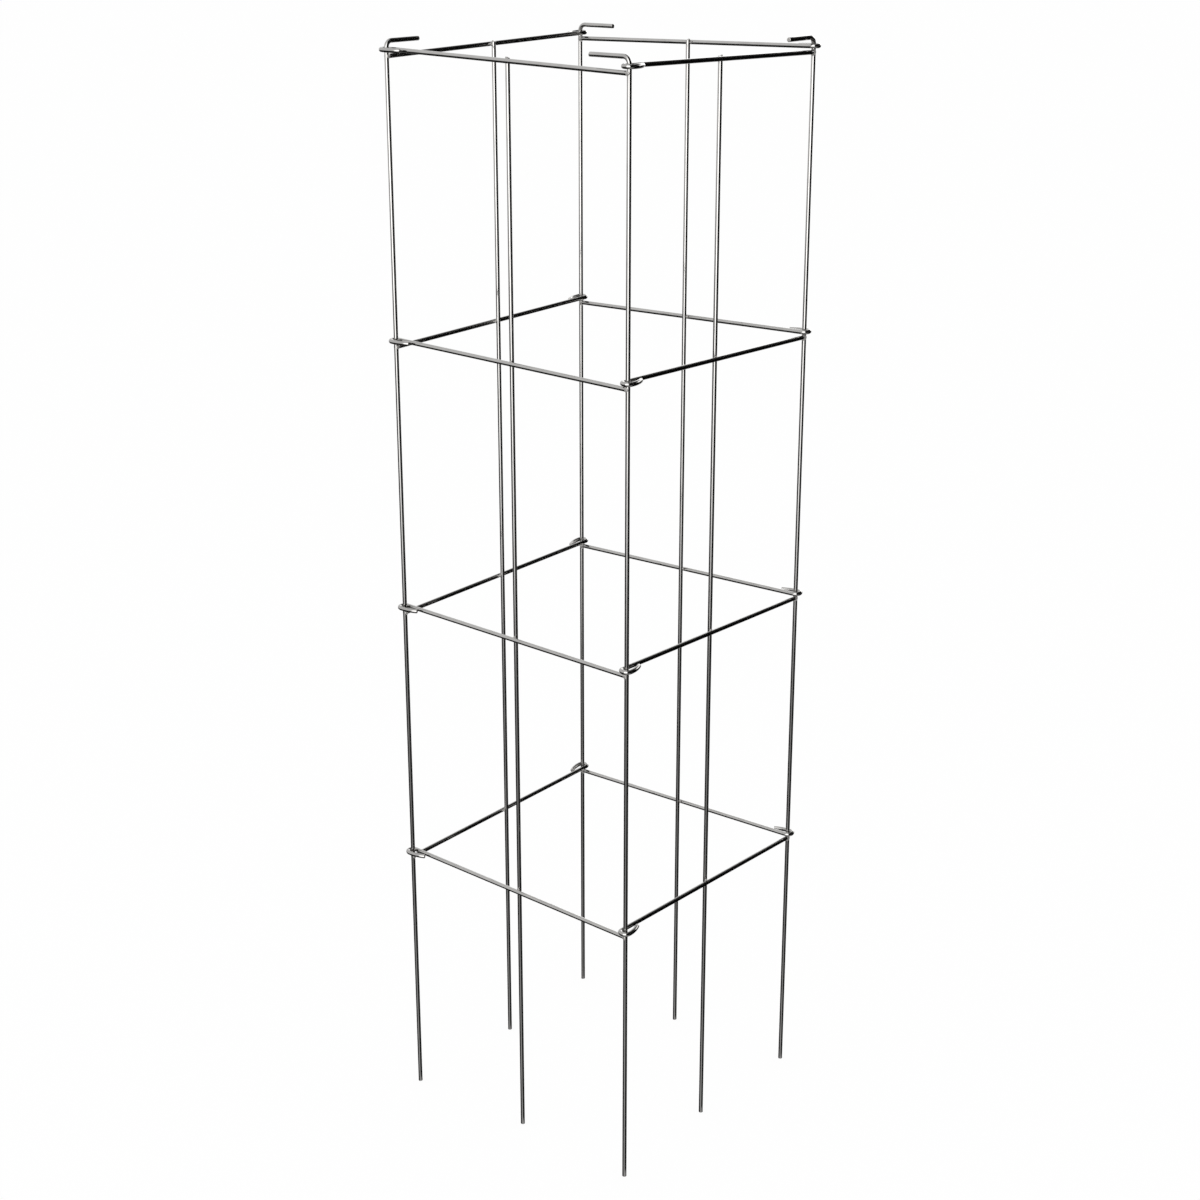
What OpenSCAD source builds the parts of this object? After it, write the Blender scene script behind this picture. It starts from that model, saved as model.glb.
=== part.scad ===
// Folding square tomato cage: four identical welded wire panels.
// Each rung ends in a loop round the next panel's corner post, so the posts are the hinge pins.
// Z is up, the origin is on the ground plane in the middle of the open square.

/* [Wire] */
// Diameter of the round steel wire
wire_d = 4.8; // [4:0.1:6]
// Chamfer on the cut wire ends
end_chamfer = 0.5; // [0.2:0.1:0.9]

/* [Cage] */
// Distance between neighbouring corner post axes
post_pitch = 317; // [260:1:420]
// Height of the bottom rung's middle above the stake tips
leg_h = 308; // [200:1:400]
// Height from one rung to the next
tier_pitch = 305; // [200:1:400]

/* [Loops] */
// Clearance all round between a loop and the post that turns in it
loop_clear = 0.8; // [0.5:0.1:1.2]
// Clear height between a loop and the welded rung below it
stack_gap = 1.8; // [1.5:0.1:3]
// Reach of a loop's tail back from the post axis
tail_reach = 20; // [16:0.5:30]
// Gap between the end of a tail and the rung that it closes on
tail_gap = 1.2; // [0.6:0.1:2.4]

/* [Hooks] */
// Clear height between the top loop and the hook arm
hook_gap = 4; // [3:0.1:10]
// Bend radius of a hook at the wire's middle
hook_bend_r = 7; // [5:0.1:8]
// Reach of a hook arm from its post axis
hook_reach = 48; // [30:1:70]

/* [Middle stakes] */
// How far a middle stake stands above the top rung
stake_proud = 0.5; // [0:0.1:3]

/* [Welds] */
// Gap between two wires that weld metal fills
weld_gap = 0.1; // [0.05:0.01:0.2]
// How far a post weld stands out round the rung
weld_flare = 0.8; // [0.5:0.1:1.2]
// Height of a post weld's edge above the rung, where it runs out
weld_edge = 0.2; // [0.1:0.05:0.4]
// Reach of a post weld along the rung, from the post axis
weld_reach = 5.6; // [4.5:0.1:8]
// Diameter of the weld bead between a rung and a middle stake
bead_d = 3.6; // [2.4:0.1:3.9]

/* [Hidden] */
$fn = 48;
SIDES = ["front", "right", "back", "left"];
TIERS = ["bottom", "lower", "upper", "top"];
WIRES = concat(["corner_post", "middle_stake"], [for (tier = TIERS) str(tier, "_rung")]);

zinc = [0.78, 0.79, 0.80];
weld_metal = [0.62, 0.63, 0.64];

wire_r = wire_d / 2;

// A rung climbs from its weld to its loop, so that every loop lies above the next panel's rung.
rung_rise = wire_d + stack_gap;
rung_tilt = atan2(rung_rise, post_pitch);
rung_span = norm([post_pitch, rung_rise]);

// The rung runs straight from its own post's axis to a tangent on the inner side of the loop.
loop_r = wire_d + loop_clear;
run_angle = asin(loop_r / rung_span);
run_length = rung_span * cos(run_angle);

// The tail curves back from the loop's outer side until its end closes on the rung.
tail_drop = 2 * loop_r - wire_d - tail_gap;
tail_turn = 2 * atan2(tail_drop, tail_reach);
tail_bend_r = round(100 * tail_reach / sin(tail_turn)) / 100;

// The stake touches the rungs' inner side halfway along them.
rung_mid_n = -rung_span / 2 * tan(run_angle);
stake_n = rung_mid_n - (wire_d + weld_gap) / cos(run_angle);
stake_h = leg_h + (len(TIERS) - 1) * tier_pitch + wire_r + stake_proud;

// The hook arm lies over the panel's own rungs, above the next panel's top loop.
hook_z = leg_h + (len(TIERS) - 1) * tier_pitch + rung_rise / 2 + wire_d + hook_gap;

function rung_z(tier) = leg_h + tier * tier_pitch;

// Puts a panel drawn along X, with its own post on the Z axis and its outside at +Y, on a side of the cage.
module on_side(i) {
    rotate([0, 0, 90 * i])
        translate([post_pitch / 2, -post_pitch / 2, 0])
            rotate([0, 0, 180])
                children();
}

// Puts a rung of a tier in its panel. The rung is drawn flat, with its loop's middle at the origin,
// its straight run coming in along X on the inner side, and its own post's axis run_length back.
module at_tier(tier) {
    translate([0, 0, rung_z(tier) - rung_rise / 2])
        rotate([0, -rung_tilt, 0])
            translate([rung_span, 0, 0])
                rotate([0, 0, -run_angle])
                    children();
}

// The straight run of a rung, from a gap off its own post to its loop.
module run() {
    translate([0, -loop_r, 0])
        rotate([0, -90, 0])
            cylinder(h = run_length - wire_r - weld_gap, r = wire_r);
}

// Straight wire along Z, with a chamfered cut at its far end.
module cut_wire(length) {
    cylinder(h = length - end_chamfer, r = wire_r);
    translate([0, 0, length - end_chamfer])
        cylinder(h = end_chamfer, r1 = wire_r, r2 = wire_r - end_chamfer);
}

// Bent wire: part of a ring round Z that starts on the X axis.
module bent_wire(bend_r, angle) {
    rotate_extrude(angle = angle)
        translate([bend_r, 0])
            circle(r = wire_r);
}

module corner_post() {
    post_top = hook_z - hook_bend_r;
    color(zinc) {
        translate([0, 0, post_top])
            rotate([180, 0, 0])
                cut_wire(post_top);
        translate([hook_bend_r, 0, post_top])
            rotate([90, 0, 0])
                rotate([0, 0, 90])
                    bent_wire(hook_bend_r, 90);
        translate([hook_bend_r, 0, hook_z])
            rotate([0, 90, 0])
                cut_wire(hook_reach - hook_bend_r);
    }
}

module middle_stake() {
    color(zinc)
        translate([post_pitch / 2, stake_n, stake_h / 2])
            for (end = [0, 180])
                rotate([end, 0, 0])
                    cut_wire(stake_h / 2);
}

module rung(tier) {
    color(zinc)
        at_tier(tier) {
            run();
            rotate([0, 0, -90])
                bent_wire(loop_r, 180);
            translate([0, loop_r - tail_bend_r, 0])
                rotate([0, 0, 90])
                    bent_wire(tail_bend_r, tail_turn);
        }
}

// Collar of weld metal that joins a rung's end to its own post.
module post_weld(tier) {
    weld_start = wire_r / 2;
    difference() {
        at_tier(tier)
            translate([weld_start - run_length, -loop_r, 0])
                rotate([0, 90, 0])
                    cylinder(h = weld_reach - weld_start, r1 = wire_r + weld_flare, r2 = wire_r + weld_edge);
        at_tier(tier)
            run();
        cylinder(h = hook_z, r = wire_r);
    }
}

// Bead of weld metal in the crossing of a rung and the middle stake.
module stake_weld(tier) {
    difference() {
        translate([post_pitch / 2, rung_mid_n, rung_z(tier)])
            rotate([90, 0, 0])
                cylinder(h = rung_mid_n - stake_n, d = bead_d);
        at_tier(tier)
            run();
        translate([post_pitch / 2, stake_n, 0])
            cylinder(h = stake_h, r = wire_r);
    }
}

module welds() {
    color(weld_metal)
        for (tier = [0:len(TIERS) - 1]) {
            post_weld(tier);
            stake_weld(tier);
        }
}

for (i = [0:len(SIDES) - 1])
    on_side(i) {
        corner_post();
        middle_stake();
        for (tier = [0:len(TIERS) - 1])
            rung(tier);
        welds();
    }
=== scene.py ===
"""Folding square tomato cage: its wires, welds and finish, a white studio and the camera.

Metres, +Z up. A panel is drawn with its own post on the Z axis, its rungs along +X and its
outside at +Y, and is then put on its side of the cage.
"""

import math
from typing import NamedTuple

import bmesh
import bpy
import numpy as np
from mathutils import Matrix, Vector, noise

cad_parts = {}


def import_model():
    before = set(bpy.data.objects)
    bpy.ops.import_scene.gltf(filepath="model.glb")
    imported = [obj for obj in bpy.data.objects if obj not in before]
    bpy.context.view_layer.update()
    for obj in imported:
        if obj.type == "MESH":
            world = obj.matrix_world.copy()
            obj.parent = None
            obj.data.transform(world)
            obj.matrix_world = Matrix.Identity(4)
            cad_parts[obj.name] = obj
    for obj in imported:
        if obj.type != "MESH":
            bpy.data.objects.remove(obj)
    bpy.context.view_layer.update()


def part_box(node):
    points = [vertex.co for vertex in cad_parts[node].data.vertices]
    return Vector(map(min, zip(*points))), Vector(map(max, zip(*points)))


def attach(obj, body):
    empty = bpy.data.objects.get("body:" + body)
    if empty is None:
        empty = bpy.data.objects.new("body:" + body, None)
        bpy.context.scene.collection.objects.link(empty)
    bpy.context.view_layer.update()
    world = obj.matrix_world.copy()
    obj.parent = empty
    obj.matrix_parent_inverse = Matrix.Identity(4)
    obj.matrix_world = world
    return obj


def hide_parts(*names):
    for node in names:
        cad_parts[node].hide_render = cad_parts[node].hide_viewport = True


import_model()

SIDES = ("front", "right", "back", "left")
TIERS = ("bottom", "lower", "upper", "top")
X_AXIS, Y_AXIS, Z_AXIS = Vector((1, 0, 0)), Vector((0, 1, 0)), Vector((0, 0, 1))

# Sizes read off the frame
stake_low, stake_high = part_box("front_middle_stake")
post_low, post_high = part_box("front_corner_post")
WIRE_R = (stake_high.x - stake_low.x) / 2
HALF_PITCH = post_high.x - WIRE_R
PITCH = 2 * HALF_PITCH
STAKE_TOP = stake_high.z
STAKE_Y = -HALF_PITCH - (stake_low.y + stake_high.y) / 2
HOOK_Z = post_high.z - WIRE_R
HOOK_REACH = HALF_PITCH - post_low.x

# Bends of the wire
LOOP_CLEAR = 0.0008
STACK_GAP = 0.0018
TAIL_REACH = 0.020
TAIL_GAP = 0.0012
HOOK_BEND_R = 0.007

# A rung climbs to its loop, so that each loop lies above the next panel's rung.
RUNG_RISE = 2 * WIRE_R + STACK_GAP
RUNG_TILT = math.atan2(RUNG_RISE, PITCH)
RUNG_SPAN = math.hypot(PITCH, RUNG_RISE)
LOOP_R = 2 * WIRE_R + LOOP_CLEAR
RUN_ANGLE = math.asin(LOOP_R / RUNG_SPAN)
RUN_LENGTH = RUNG_SPAN * math.cos(RUN_ANGLE)
TAIL_DROP = 2 * LOOP_R - 2 * WIRE_R - TAIL_GAP
TAIL_TURN = 2 * math.atan2(TAIL_DROP, TAIL_REACH)
TAIL_BEND_R = TAIL_REACH / math.sin(TAIL_TURN)
RUNG_MID_Y = -RUNG_SPAN / 2 * math.tan(RUN_ANGLE)
RUNG_Z = {tier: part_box(f"front_{tier}_rung")[0].z + RUNG_RISE / 2 + WIRE_R for tier in TIERS}

# Fineness of the wire meshes
RING_SIDES = 32
RUN_STEP = 0.012
BEND_STEP = 0.0009

# Cut ends: the rounded edge, how many of its rows are bare steel, the slant that the shears leave,
# and the face's slight dome
CUT_EDGE = 0.00035
CUT_EDGE_STEPS = 4
CUT_BARE_ROWS = 2
CUT_SLANT = 0.06
CUT_DOME = 0.00006
CUT_FACE_RINGS = (0.3, 0.65)

# How much a bend flattens the round wire, where along it the tool dulls the zinc, and how far
BEND_FLATTENING = 0.03
BEND_MARKS = (0.2, 0.5, 0.8)
WORKED_REACH = 0.009

# Room between the strips of a wire's flat map, as a share of the wire's girth
MAP_MARGIN = 0.06

# Weld metal: how far it fills the corner between two wires, and its unevenness
POST_FILLET = 0.0019
POST_WELD_R = 0.0044
STAKE_FILLET = 0.0021
STAKE_WELD_R = 0.0038
WELD_SINK = 0.00006
WELD_RIPPLE = 0.00018
WELD_GRAIN = 3.2
WELD_FINENESS = 4
WELD_HALVINGS = 24
STAKE_SEED = 0.5


def on_side(i):
    """Where panel i stands, from the way that it is drawn."""
    place = Matrix.Translation((HALF_PITCH, -HALF_PITCH, 0))
    return Matrix.Rotation(math.radians(90 * i), 4, "Z") @ place @ Matrix.Rotation(math.pi, 4, "Z")


def at_tier(tier):
    """Where a rung lies in its panel. It is drawn flat, round the middle of its loop."""
    lift = Matrix.Translation((0, 0, RUNG_Z[tier] - RUNG_RISE / 2))
    along = Matrix.Rotation(-RUNG_TILT, 4, "Y") @ Matrix.Translation((RUNG_SPAN, 0, 0))
    return lift @ along @ Matrix.Rotation(-RUN_ANGLE, 4, "Z")


class Ring(NamedTuple):
    """A ring of points round a wire."""

    at: Vector
    heading: Vector
    length: float
    flattened: float = 0.0
    radius: float = WIRE_R
    slant: float = 0.0
    on_cut: bool = False


class Wire:
    """A wire as a bending machine makes it: fed straight, and bent about one normal."""

    def __init__(self, start, heading, normal):
        self.at, self.heading, self.normal = Vector(start), Vector(heading), Vector(normal)
        self.length = 0.0
        self.worked = []
        self.rings = [Ring(self.at, self.heading, self.length)]

    def mark(self, length):
        """Notes a place along the wire where heat or a tool has dulled the zinc."""
        self.worked.append(length)

    def feed(self, length):
        steps = math.ceil(length / RUN_STEP)
        start, begun = self.at, self.length
        for i in range(1, steps + 1):
            self.at = start + self.heading * (length * i / steps)
            self.length = begun + length * i / steps
            self.rings.append(Ring(self.at, self.heading, self.length))

    def bend(self, radius, angle):
        steps = math.ceil(radius * angle / BEND_STEP)
        centre = self.at + self.normal.cross(self.heading) * radius
        arm, heading, begun = self.at - centre, self.heading, self.length
        for i in range(1, steps + 1):
            turn = Matrix.Rotation(angle * i / steps, 3, self.normal)
            self.at = centre + turn @ arm
            self.heading = turn @ heading
            self.length = begun + radius * angle * i / steps
            flattened = math.sqrt(math.sin(math.pi * i / steps)) if i < steps else 0.0
            self.rings.append(Ring(self.at, self.heading, self.length, flattened))
        for share in BEND_MARKS:
            self.mark(begun + radius * angle * share)

    def dulled(self, length):
        """How dull the zinc is at a length along the wire, from 0 to 1."""
        marks = [math.exp(-((length - spot) / WORKED_REACH) ** 2) for spot in self.worked]
        return max(marks, default=0.0)


def cut_rows():
    """Rows of a cut end, from the face's middle out: depth below the end, radius, and if on the face."""
    rows = []
    for share in CUT_FACE_RINGS:
        rows.append((-CUT_DOME * (1 - share ** 2), (WIRE_R - CUT_EDGE) * share, True))
    for i in range(CUT_EDGE_STEPS + 1):
        turn = math.pi / 2 * i / CUT_EDGE_STEPS
        depth, radius = CUT_EDGE * (1 - math.cos(turn)), WIRE_R - CUT_EDGE * (1 - math.sin(turn))
        rows.append((depth, radius, i < CUT_BARE_ROWS))
    return rows


def all_rings(wire):
    """The wire's rings from one cut end to the other."""
    first, last = wire.rings[0], wire.rings[-1]
    inset = CUT_SLANT * WIRE_R + CUT_DOME
    deepest = inset + CUT_EDGE + CUT_SLANT * WIRE_R
    near, far = [], []
    for depth, radius, on_cut in cut_rows():
        depth += inset
        look = {"radius": radius, "slant": CUT_SLANT, "on_cut": on_cut}
        near.append(first._replace(at=first.at + first.heading * depth, length=depth, **look))
        far.append(last._replace(at=last.at - last.heading * depth, length=wire.length - depth, **look))
    body = [ring for ring in wire.rings if deepest < ring.length < wire.length - deepest]
    return near + body + far[::-1]


class FlatMap:
    """A wire's skin laid flat: strips of its length above one another, with its two cut faces on top."""

    def __init__(self, length):
        self.girth = 2 * math.pi * WIRE_R
        self.row = self.girth * (1 + MAP_MARGIN)
        self.strips = math.ceil(math.sqrt(length / self.row))
        self.strip = length / self.strips
        self.size = max(self.strip + 2 * RUN_STEP, (self.strips + 1) * self.row)

    def strip_of(self, length):
        return min(int(length / self.strip), self.strips - 1)

    def on_skin(self, strip, length, turn):
        across = length - strip * self.strip + RUN_STEP
        return across / self.size, (strip * self.row + turn * self.girth) / self.size

    def on_cut(self, end, radius, turn):
        across = (0.5 + end) * self.row + radius * math.cos(2 * math.pi * turn)
        up = (self.strips + 0.5) * self.row + radius * math.sin(2 * math.pi * turn)
        return across / self.size, up / self.size


def wire_object(name, wire, place, seed):
    """Sweeps the round wire along its path and closes it with cut faces."""
    bm = bmesh.new()
    drawn = bm.verts.layers.float_vector.new("drawn")
    worked = bm.verts.layers.float.new("worked")
    uv = bm.loops.layers.uv.new("OFBake")
    rings = all_rings(wire)
    flat = FlatMap(wire.length)
    turns = [j / RING_SIDES for j in range(RING_SIDES + 1)]

    grid = []
    for ring in rings:
        side = wire.normal.cross(ring.heading)
        squeeze = BEND_FLATTENING * ring.flattened
        verts = []
        for turn in turns[:-1]:
            across = ring.radius * math.cos(2 * math.pi * turn)
            up = ring.radius * math.sin(2 * math.pi * turn)
            offset = side * across * (1 - squeeze) + wire.normal * up * (1 + squeeze)
            vert = bm.verts.new(ring.at + offset + ring.heading * ring.slant * across)
            vert[drawn] = (across, up, ring.length + seed)
            vert[worked] = wire.dulled(ring.length)
            verts.append(vert)
        grid.append(verts)

    def add_face(verts, spots, on_cut):
        face = bm.faces.new(verts)
        face.smooth = True
        face.material_index = int(on_cut)
        for loop, spot in zip(face.loops, spots):
            loop[uv].uv = spot

    for i, (ring, after) in enumerate(zip(rings, rings[1:])):
        on_cut = ring.on_cut and after.on_cut
        end = int(2 * ring.length > wire.length)
        strip = flat.strip_of((ring.length + after.length) / 2)
        for j in range(RING_SIDES):
            k = (j + 1) % RING_SIDES
            corners = ((ring, turns[j]), (ring, turns[j + 1]), (after, turns[j + 1]), (after, turns[j]))
            if on_cut:
                spots = [flat.on_cut(end, at.radius, turn) for at, turn in corners]
            else:
                spots = [flat.on_skin(strip, at.length, turn) for at, turn in corners]
            add_face((grid[i][j], grid[i][k], grid[i + 1][k], grid[i + 1][j]), spots, on_cut)
    for end, i in enumerate((0, -1)):
        add_face(grid[i], [flat.on_cut(end, rings[i].radius, turn) for turn in turns[:-1]], True)
    bmesh.ops.recalc_face_normals(bm, faces=bm.faces)
    return object_of(name, bm, place)


def object_of(name, bm, place):
    mesh = bpy.data.meshes.new(name)
    bm.to_mesh(mesh)
    bm.free()
    mesh.transform(place)
    piece = bpy.data.objects.new(name, mesh)
    bpy.context.scene.collection.objects.link(piece)
    return piece


def corner_post():
    wire = Wire((0, 0, 0), Z_AXIS, Y_AXIS)
    wire.feed(HOOK_Z - HOOK_BEND_R)
    wire.bend(HOOK_BEND_R, math.pi / 2)
    wire.feed(HOOK_REACH - HOOK_BEND_R)
    for tier in TIERS:
        wire.mark(RUNG_Z[tier] - RUNG_RISE / 2)
    return wire


def middle_stake():
    wire = Wire((HALF_PITCH, STAKE_Y, 0), Z_AXIS, Y_AXIS)
    wire.feed(STAKE_TOP)
    for tier in TIERS:
        wire.mark(RUNG_Z[tier])
    return wire


def rung():
    run = RUN_LENGTH - WIRE_R
    wire = Wire((-run, -LOOP_R, 0), X_AXIS, Z_AXIS)
    wire.feed(run)
    wire.bend(LOOP_R, math.pi)
    wire.bend(TAIL_BEND_R, TAIL_TURN)
    wire.mark(0)
    wire.mark(run - RUN_LENGTH / 2)
    return wire


def to_line(points, on_line, heading):
    """Distance of points from a straight line."""
    apart = points - np.array(on_line)
    direction = np.array(heading)
    return np.linalg.norm(apart - np.outer(apart @ direction, direction), axis=1)


def weld_lump(bm, middle, lines, fillet, reach, seed):
    """A lump of weld metal that fills the corner between two wires, as (point, heading) lines."""
    ball = bmesh.new()
    bmesh.ops.create_icosphere(ball, subdivisions=WELD_FINENESS, radius=1)
    rays = np.array([vert.co for vert in ball.verts])
    shift = Vector((seed, 0, 0))
    ripple = np.array([noise.noise(vert.co * WELD_GRAIN + shift) for vert in ball.verts])
    ripple = WELD_RIPPLE * ripple - WELD_SINK
    near, far = np.zeros(len(rays)), np.full(len(rays), reach)
    for _ in range(WELD_HALVINGS):
        tried = (near + far) / 2
        points = np.array(middle) + rays * tried[:, None]
        one, other = (to_line(points, *line) - WIRE_R for line in lines)
        # The nearer wire's skin, drawn out where both wires are near: a smooth minimum
        corner = np.maximum(fillet - np.abs(one - other), 0) / fillet
        surface = np.minimum(one, other) - corner ** 2 * fillet / 4
        inside = surface < ripple * corner - WELD_SINK * (1 - corner)
        near, far = np.where(inside, tried, near), np.where(inside, far, tried)
    made = [bm.verts.new(Vector(middle) + vert.co * span) for vert, span in zip(ball.verts, near)]
    for face in ball.faces:
        bm.faces.new([made[vert.index] for vert in face.verts]).smooth = True
    ball.free()


def weld_beads(name, place, seed):
    """The welds of a panel: rungs to their own post, and rungs to the middle stake."""
    bm = bmesh.new()
    for t, tier in enumerate(TIERS):
        rung_place = at_tier(tier)
        along = (rung_place.to_3x3() @ X_AXIS).normalized()
        joint = rung_place @ Vector((-RUN_LENGTH, -LOOP_R, 0))
        lines = ((joint, Z_AXIS), (joint, along))
        weld_lump(bm, joint + along * WIRE_R, lines, POST_FILLET, POST_WELD_R, seed + t)
        on_stake = Vector((HALF_PITCH, STAKE_Y, RUNG_Z[tier]))
        on_rung = Vector((HALF_PITCH, RUNG_MID_Y, RUNG_Z[tier]))
        lines = ((on_stake, Z_AXIS), (on_rung, along))
        weld_lump(bm, (on_stake + on_rung) / 2, lines, STAKE_FILLET, STAKE_WELD_R, seed + t + STAKE_SEED)
    return object_of(name, bm, place)


class Shading:
    """Builds a node tree: each call adds a node, sets or links its inputs, and returns it."""

    def __init__(self, tree):
        self.tree = tree
        tree.nodes.clear()

    def __call__(self, kind, inputs=None, **settings):
        made = self.tree.nodes.new("ShaderNode" + kind)
        for name, value in settings.items():
            setattr(made, name, value)
        for name, value in (inputs or {}).items():
            if isinstance(value, bpy.types.NodeSocket):
                self.tree.links.new(value, made.inputs[name])
            else:
                made.inputs[name].default_value = value
        return made

    def fit(self, value, span, to_low, to_high):
        """value, within a span of low and high, turned into a number from to_low to to_high."""
        ends = {"From Min": span[0], "From Max": span[1], "To Min": to_low, "To Max": to_high}
        return self("MapRange", {"Value": value, **ends}).outputs["Result"]

    def math(self, operation, *values):
        return self("Math", dict(enumerate(values)), operation=operation).outputs["Value"]

    def dot(self, vector, direction):
        made = self("VectorMath", {0: vector, 1: direction}, operation="DOT_PRODUCT")
        return made.outputs["Value"]

    def mix(self, share, one, other):
        """A number between two numbers."""
        return self("Mix", {0: share, 2: one, 3: other}, data_type="FLOAT").outputs[0]

    def blend(self, share, one, other):
        """A colour between two colours."""
        return self("Mix", {0: share, 6: one, 7: other}, data_type="RGBA").outputs[2]

    def grain(self, vector, scale, stretch=(1, 1, 1)):
        """Noise of a size, in features per metre, along a coordinate that may be stretched."""
        mapped = self("Mapping", {"Vector": vector, "Scale": stretch}).outputs["Vector"]
        look = {"Vector": mapped, "Scale": scale, "Detail": 3.0, "Roughness": 0.6}
        return self("TexNoise", look).outputs["Fac"]

    def metal(self, colour, roughness, height, relief, metallic=1.0):
        """Ends a material as metal with a fine relief, of a strength and a depth."""
        strength, depth = relief
        bump = self("Bump", {"Height": height, "Strength": strength, "Distance": depth})
        look = {"Base Color": colour, "Roughness": roughness, "Metallic": metallic}
        made = self("BsdfPrincipled", {**look, "Normal": bump.outputs["Normal"]})
        self("OutputMaterial", {"Surface": made.outputs["BSDF"]})


def new_material(name):
    material = bpy.data.materials.new(name)
    material.use_nodes = True
    return material, Shading(material.node_tree)


# Colours of the metal
ZINC_BRIGHT = (0.48, 0.472, 0.46, 1)
ZINC_DULL = (0.385, 0.379, 0.37, 1)
ZINC_SPOT = (0.33, 0.325, 0.318, 1)
STEEL_BRIGHT = (0.46, 0.45, 0.435, 1)
CUT_DARK = (0.28, 0.268, 0.25, 1)
WELD_DARK = (0.30, 0.29, 0.275, 1)

# Grain of the metal, in features per metre, and its stretch along or across the wire
DIE_LINES, DIE_STRETCH = 4200, (1, 1, 0.006)
ZINC_PATCHES, PATCH_STRETCH = 75, (1, 1, 0.7)
ZINC_SPECKS, SPECK_STRETCH = 1100, (1, 1, 0.6)
SHEAR_STEPS, SHEAR_STRETCH = 5200, (0.12, 1, 1)
CUT_STAINS = 1500
WELD_SWELLS = 420
WELD_PITS = 2600

# Span of each grain's noise in which it comes to show
LINES_SHOW = (0.4, 0.75)
PATCHES_SHOW = (0.42, 0.68)
SPECKS_SHOW = (0.66, 0.76)
WORK_SHOWS = (0.1, 1)
STEPS_SHOW = (0.3, 0.7)
STAINS_SHOW = (0.4, 0.7)
SWELLS_SHOW = (0.45, 0.7)
PITS_SHOW = (0.6, 0.75)

# How dull each makes the metal at most
LINES_DULL, PATCHES_DULL, WORK_DULLS = 0.35, 0.55, 0.6
SPECKS_DULL = 0.3
SWELLS_DULL = 0.8

# Roughness from bright to dull, and what a dull speck adds
ZINC_ROUGH, SPECK_ROUGH = (0.06, 0.13), 0.08
CUT_ROUGH = (0.14, 0.28)
WELD_ROUGH = (0.3, 0.5)

# Relief: its strength and depth, and how deep specks and pits lie in it
ZINC_RELIEF, SPECK_DEPTH = (0.04, 0.00002), -0.6
CUT_RELIEF = (0.5, 0.00006)
WELD_RELIEF, PIT_DEPTH = (0.45, 0.00025), -0.5
WELD_METALLIC = 0.5
WHOLE = (0, 1)


def zinc_material():
    """Bright zinc on drawn wire: fine die lines, soft patches, dull specks, and dull bends."""
    material, add = new_material("zinc_wire")
    drawn = add("Attribute", attribute_name="drawn").outputs["Vector"]
    worked = add("Attribute", attribute_name="worked").outputs["Fac"]
    lines = add.grain(drawn, DIE_LINES, DIE_STRETCH)
    patches = add.grain(drawn, ZINC_PATCHES, PATCH_STRETCH)
    specks = add.grain(drawn, ZINC_SPECKS, SPECK_STRETCH)
    patched = add.fit(patches, PATCHES_SHOW, 0, PATCHES_DULL)
    dull = add.math("MAXIMUM", patched, add.fit(worked, WORK_SHOWS, 0, WORK_DULLS))
    dull = add.math("ADD", dull, add.fit(lines, LINES_SHOW, 0, LINES_DULL))
    spots = add.fit(specks, SPECKS_SHOW, 0, SPECKS_DULL)
    colour = add.blend(spots, add.blend(dull, ZINC_BRIGHT, ZINC_DULL), ZINC_SPOT)
    roughness = add.math("ADD", add.fit(dull, WHOLE, *ZINC_ROUGH), add.fit(spots, WHOLE, 0, SPECK_ROUGH))
    height = add.math("MULTIPLY_ADD", spots, SPECK_DEPTH, lines)
    add.metal(colour, roughness, height, ZINC_RELIEF)
    return material


def cut_material():
    """Bare steel of a sheared wire end, with the shears' fine steps across it."""
    material, add = new_material("cut_steel")
    drawn = add("Attribute", attribute_name="drawn").outputs["Vector"]
    steps = add.grain(drawn, SHEAR_STEPS, SHEAR_STRETCH)
    stains = add.fit(add.grain(drawn, CUT_STAINS), STAINS_SHOW, 0, 1)
    colour = add.blend(stains, STEEL_BRIGHT, CUT_DARK)
    add.metal(colour, add.fit(steps, STEPS_SHOW, *CUT_ROUGH), steps, CUT_RELIEF)
    return material


def weld_material():
    """Weld metal under zinc: satin where the wire is bright, pitted, with darker hollows."""
    material, add = new_material("weld_metal")
    place = add("TexCoord").outputs["Object"]
    swells = add.grain(place, WELD_SWELLS)
    pits = add.grain(place, WELD_PITS)
    swollen = add.fit(swells, SWELLS_SHOW, 0, SWELLS_DULL)
    hollows = add.math("MAXIMUM", swollen, add.fit(pits, PITS_SHOW, 0, 1))
    colour = add.blend(hollows, STEEL_BRIGHT, WELD_DARK)
    height = add.math("MULTIPLY_ADD", pits, PIT_DEPTH, swells)
    add.metal(colour, add.fit(hollows, WHOLE, *WELD_ROUGH), height, WELD_RELIEF, WELD_METALLIC)
    return material


def dress(piece, body, node, materials):
    for material in materials:
        piece.data.materials.append(material)
    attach(piece, body)
    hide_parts(node)


WIRE_MATERIALS = (zinc_material(), cut_material())
WELD_MATERIALS = (weld_material(),)
SEED_STEP = 1.7

for i, side in enumerate(SIDES):
    panel, body = on_side(i), f"{side}_panel"
    wires = {"corner_post": (corner_post(), panel), "middle_stake": (middle_stake(), panel)}
    for tier in TIERS:
        wires[f"{tier}_rung"] = (rung(), panel @ at_tier(tier))
    for k, (piece_name, (wire, place)) in enumerate(wires.items()):
        node = f"{side}_{piece_name}"
        piece = wire_object(f"{node}_wire", wire, place, SEED_STEP * (len(wires) * i + k))
        dress(piece, body, node, WIRE_MATERIALS)
    beads = weld_beads(f"{side}_weld_beads", panel, SEED_STEP * len(TIERS) * i)
    dress(beads, body, f"{side}_welds", WELD_MATERIALS)


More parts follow.
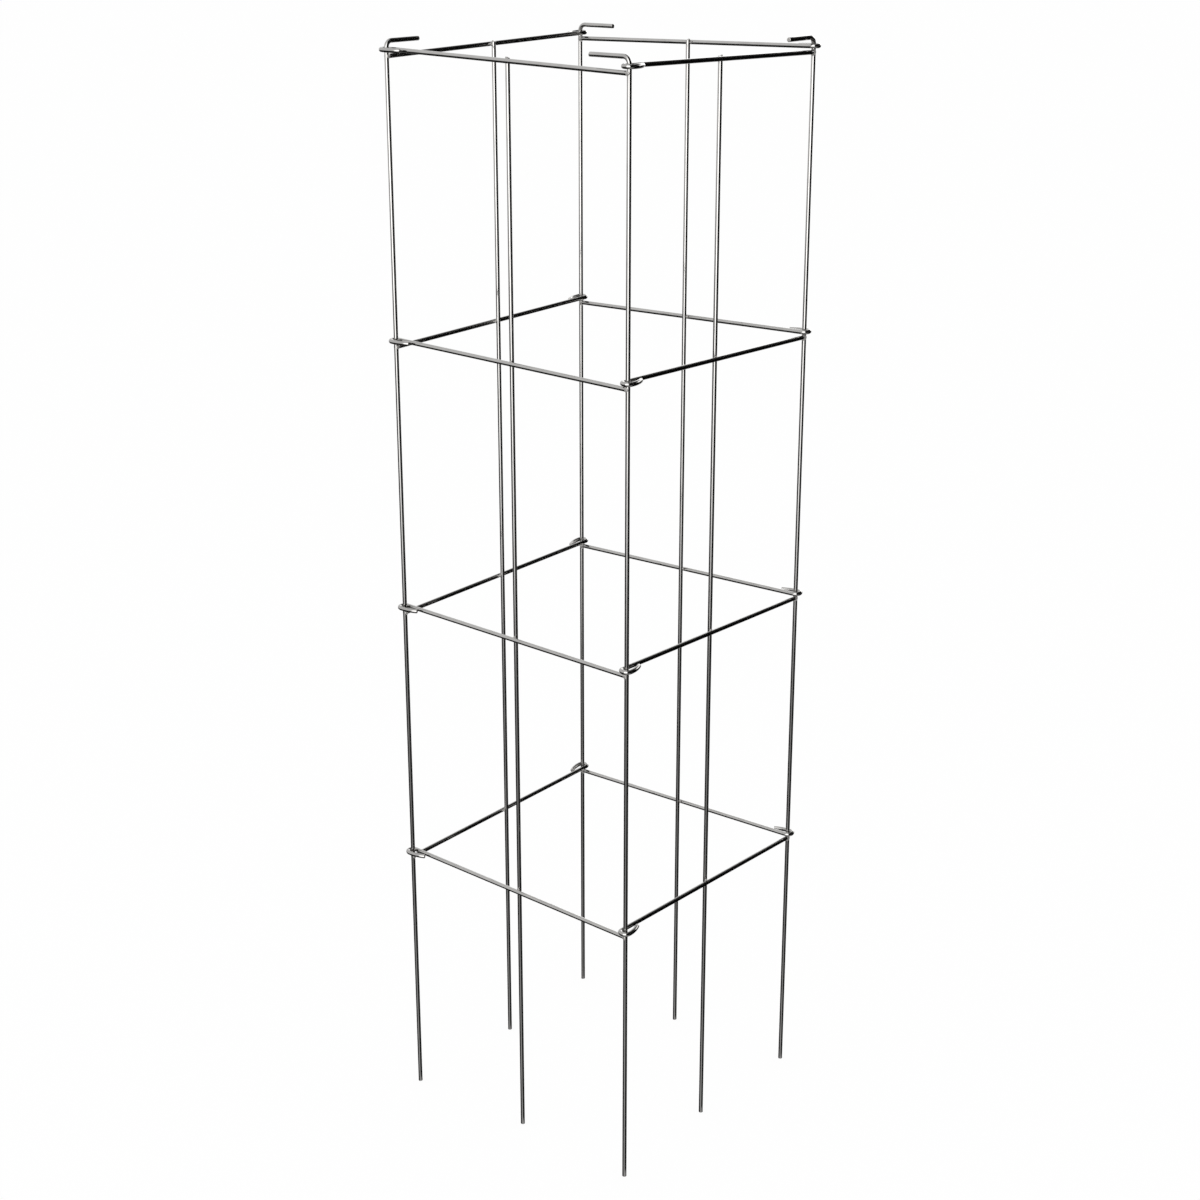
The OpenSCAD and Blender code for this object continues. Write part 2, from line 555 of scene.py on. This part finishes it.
# Camera, solved from the photo's straight wires
CAMERA_TURN = math.radians(38.563)
CAMERA_LIFT = math.radians(19.350)
CAMERA_BACK = 2.35189
CAMERA_ASIDE = -0.00254
CAMERA_AIM_Z = 0.61596
CAMERA_LENS = 61.861
CAMERA_SENSOR = 36
CAMERA_NEAR = 0.05
VIEW_BACK = Vector((math.sin(CAMERA_TURN), -math.cos(CAMERA_TURN), 0))
VIEW_RIGHT = Vector((math.cos(CAMERA_TURN), math.sin(CAMERA_TURN), 0))

# The studio: a white tent over a pale floor
FLOOR_SIZE = 120
FLOOR_PALE = (0.9, 0.9, 0.9, 1)
FLOOR_GLOW = 0.93
WHITE = (1, 1, 1, 1)


class Card(NamedTuple):
    """A card in the tent, between two bearings, with its brightness by elevation. In degrees."""

    start: float
    end: float
    bright: tuple


# The tent and its light and dark cards, as the metal mirrors them. Bearings are from the photo's
# viewing side and rise to its right. Brightness is given as (elevation, brightness) from below up.
BLACK, GREY, GLARE = 0.003, 0.4, 2.4
SEAM = -115
TENT_TOP = ((-7, 0.8), (0, 1), (60, 0.95), (90, 0.8))
DARK_TOP = ((60, BLACK), (75, 0.5), (90, 0.8))
TENT = ((-90, 0.02), (-24, 0.02), (-16, 0.06), (-12, 0.15), *TENT_TOP)
CARDS = (
    # The bright card in front
    Card(-42, 10, ((-90, 0.3), (-32, 0.6), (-26, 0.36), (-21, 0.42), (-15, 2.2), (-8, 3.1), (20, 3.1),
                   (60, 1.2), (90, 0.8))),
    # The black card on the right
    Card(10, 84, ((-90, 0.5), (-42, 0.5), (-35, 0.03), (-8, 0.03), (0, BLACK), *DARK_TOP)),
    Card(84, 122, ((-90, BLACK), *DARK_TOP)),
    # Lamps behind on the right, which whiten the loops' tails
    Card(122, 146, ((-90, BLACK), (3, BLACK), (8, GLARE), (21, GLARE), (26, BLACK), *DARK_TOP)),
    Card(146, 158, ((-90, BLACK), (-36, BLACK), (-31, GREY), (-6, GREY), (-1, GLARE), (21, GLARE),
                    (26, BLACK), *DARK_TOP)),
    Card(158, 177, ((-90, 0.02), (-36, GREY), (-25, GREY), (-20, 0.3), (-12, 1.2), (-6, GLARE), (21, GLARE),
                    (28, 0.3), (60, 0.1), (90, 0.8))),
    # A grey card behind on the left
    Card(202, 226, ((-90, 0.02), (-42, 0.02), (-36, GREY), (-12, GREY), *TENT_TOP)),
)
CARD_EDGE = 4
BRIGHTEST = 4


def floor():
    """A floor that looks white and still takes the cage's shadow. The metal mirrors the tent instead."""
    material, add = new_material("pale_floor")
    ray = add("LightPath").outputs
    seen = add.math("MAXIMUM", ray["Is Camera Ray"], ray["Is Glossy Ray"])
    seen = add.math("MAXIMUM", seen, ray["Is Transmission Ray"])
    pale = add("BsdfDiffuse", {"Color": FLOOR_PALE}).outputs["BSDF"]
    white = add("Emission", {"Color": WHITE, "Strength": 1.0}).outputs["Emission"]
    mixed = add("MixShader", {0: add.math("MULTIPLY", seen, FLOOR_GLOW), 1: pale, 2: white})
    add("OutputMaterial", {"Surface": mixed.outputs["Shader"]})
    h = FLOOR_SIZE / 2
    mesh = bpy.data.meshes.new("floor")
    mesh.from_pydata([(-h, -h, 0), (h, -h, 0), (h, h, 0), (-h, h, 0)], [], [(0, 1, 2, 3)])
    mesh.materials.append(material)
    made = bpy.data.objects.new("floor", mesh)
    made.visible_glossy = False
    bpy.context.scene.collection.objects.link(made)


def brightness(add, height, stops):
    """Brightness by elevation, from stops in degrees."""
    ramp = add("ValToRGB", {"Fac": height})
    elements = ramp.color_ramp.elements
    while len(elements) < len(stops):
        elements.new(1.0)
    for element, (elevation, bright) in zip(elements, stops):
        element.position = (elevation + 90) / 180
        element.color = (bright / BRIGHTEST, bright / BRIGHTEST, bright / BRIGHTEST, 1)
    return ramp.outputs["Color"]


def share_of(add, bearing, card):
    """1 between a card's bearings and 0 outside, with soft edges."""
    start, end, half = (math.radians(angle) for angle in (card.start, card.end, CARD_EDGE / 2))
    rising = add.fit(bearing, (start - half, start + half), 0, 1)
    return add.math("MULTIPLY", rising, add.fit(bearing, (end - half, end + half), 1, 0))


def world():
    """White light all round, in which the metal mirrors the tent and its cards."""
    made = bpy.data.worlds.new("white_tent")
    bpy.context.scene.world = made
    made.use_nodes = True
    add = Shading(made.node_tree)
    direction = add("TexCoord").outputs["Generated"]
    bearing = add.math("ARCTAN2", add.dot(direction, VIEW_RIGHT), add.dot(direction, VIEW_BACK))
    past_seam = add.math("LESS_THAN", bearing, math.radians(SEAM))
    bearing = add.math("MULTIPLY_ADD", past_seam, 2 * math.pi, bearing)
    elevation = add.math("ARCSINE", add.dot(direction, Z_AXIS))
    height = add.fit(elevation, (-math.pi / 2, math.pi / 2), 0, 1)
    mirrored = brightness(add, height, TENT)
    for card in CARDS:
        mirrored = add.mix(share_of(add, bearing, card), mirrored, brightness(add, height, card.bright))
    mirrored = add.math("MULTIPLY", mirrored, BRIGHTEST)
    strength = add.mix(add("LightPath").outputs["Is Glossy Ray"], 1.0, mirrored)
    background = add("Background", {"Color": WHITE, "Strength": strength})
    add("OutputWorld", {"Surface": background.outputs["Background"]})


def softbox(at, aim, size, radiance):
    lamp = bpy.data.lights.new("softbox", "AREA")
    lamp.shape = "RECTANGLE"
    lamp.size, lamp.size_y = size
    lamp.energy = radiance * math.pi * size[0] * size[1]
    made = bpy.data.objects.new("softbox", lamp)
    made.location = at
    made.rotation_euler = (Vector(aim) - Vector(at)).to_track_quat("-Z", "Y").to_euler()
    made.visible_camera = False
    made.visible_glossy = False
    bpy.context.scene.collection.objects.link(made)


def camera():
    back = VIEW_BACK * math.cos(CAMERA_LIFT) + Z_AXIS * math.sin(CAMERA_LIFT)
    lens = bpy.data.cameras.new("camera")
    lens.lens, lens.sensor_width = CAMERA_LENS, CAMERA_SENSOR
    lens.clip_start, lens.clip_end = CAMERA_NEAR, 2 * FLOOR_SIZE
    made = bpy.data.objects.new("camera", lens)
    made.location = Z_AXIS * CAMERA_AIM_Z + VIEW_RIGHT * CAMERA_ASIDE + back * CAMERA_BACK
    made.rotation_euler = (-back).to_track_quat("-Z", "Y").to_euler()
    bpy.context.scene.collection.objects.link(made)
    bpy.context.scene.camera = made


floor()
world()
softbox(at=(1.9, -3.4, 3.0), aim=(0, 0, 0.6), size=(2.6, 1.6), radiance=1.5)
camera()
bpy.context.scene.view_settings.view_transform = "Standard"
